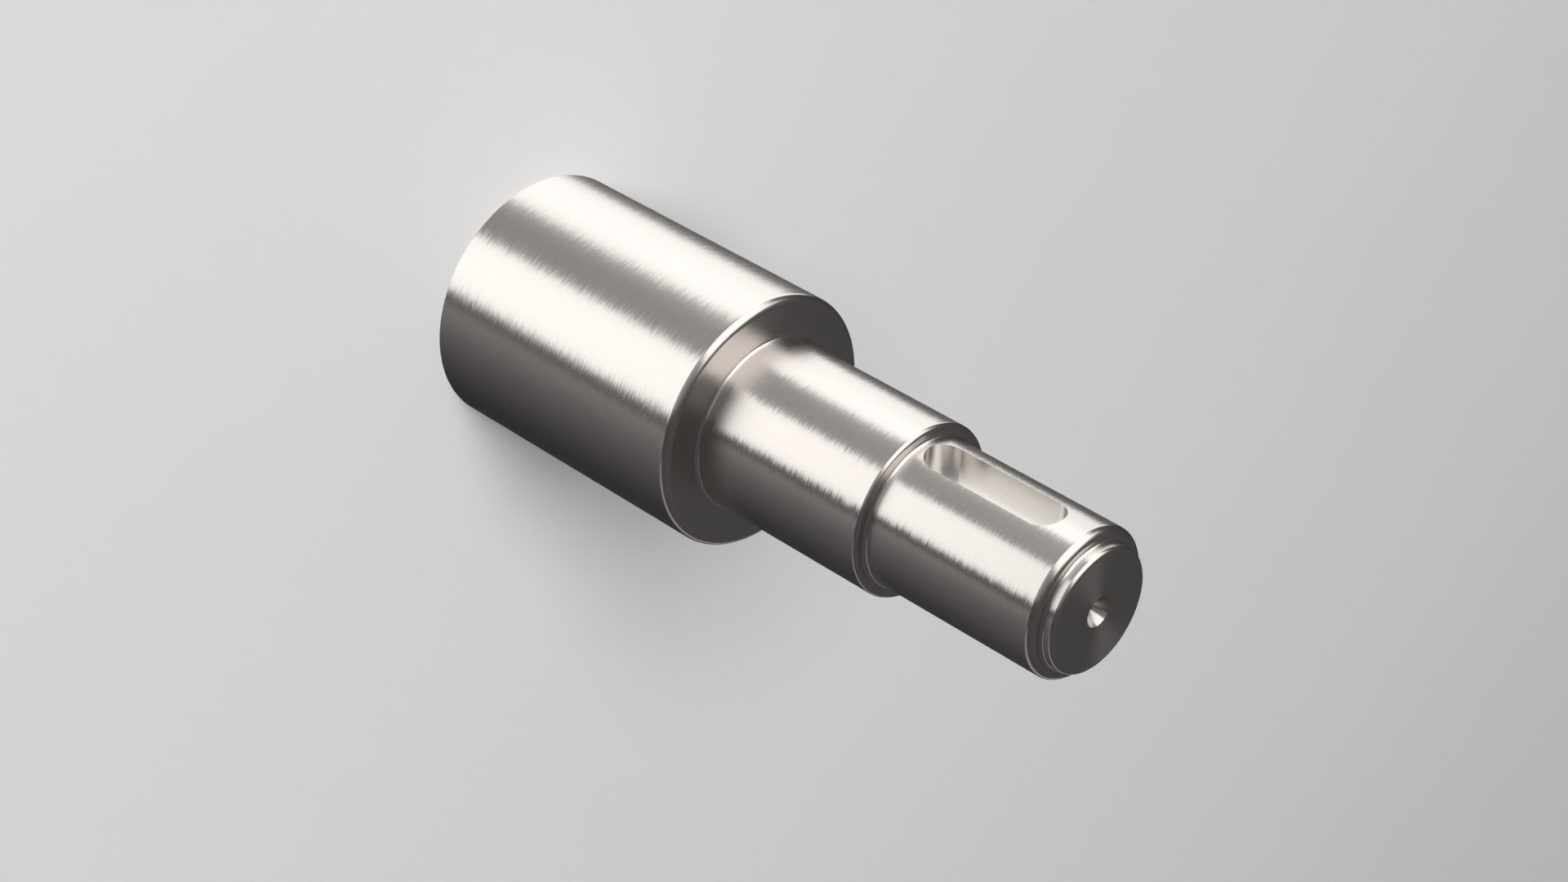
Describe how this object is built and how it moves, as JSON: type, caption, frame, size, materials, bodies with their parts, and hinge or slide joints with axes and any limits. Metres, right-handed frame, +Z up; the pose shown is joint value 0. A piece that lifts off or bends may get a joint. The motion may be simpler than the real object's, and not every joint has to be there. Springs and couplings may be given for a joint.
{
  "type": "stepped shaft",
  "caption": "Solid turned steel shaft with a thick head, a bearing journal, a keyed seat with a closed end-milled keyway, and a short rounded spigot with a centre hole.",
  "frame": {"origin": "centre of the flat face of the thick head, on which the shaft stands", "axes": "+Z up along the shaft's axis from the head to the keyed end; the keyway opens towards -Y"},
  "size_m": [0.062, 0.062, 0.175],
  "materials": {
    "turned_steel": "fine turned stainless steel, with circular tool marks and smoother roundings"
  },
  "bodies": {
    "root": {"stepped_shaft": "turned_steel"}
  },
  "joints": []
}
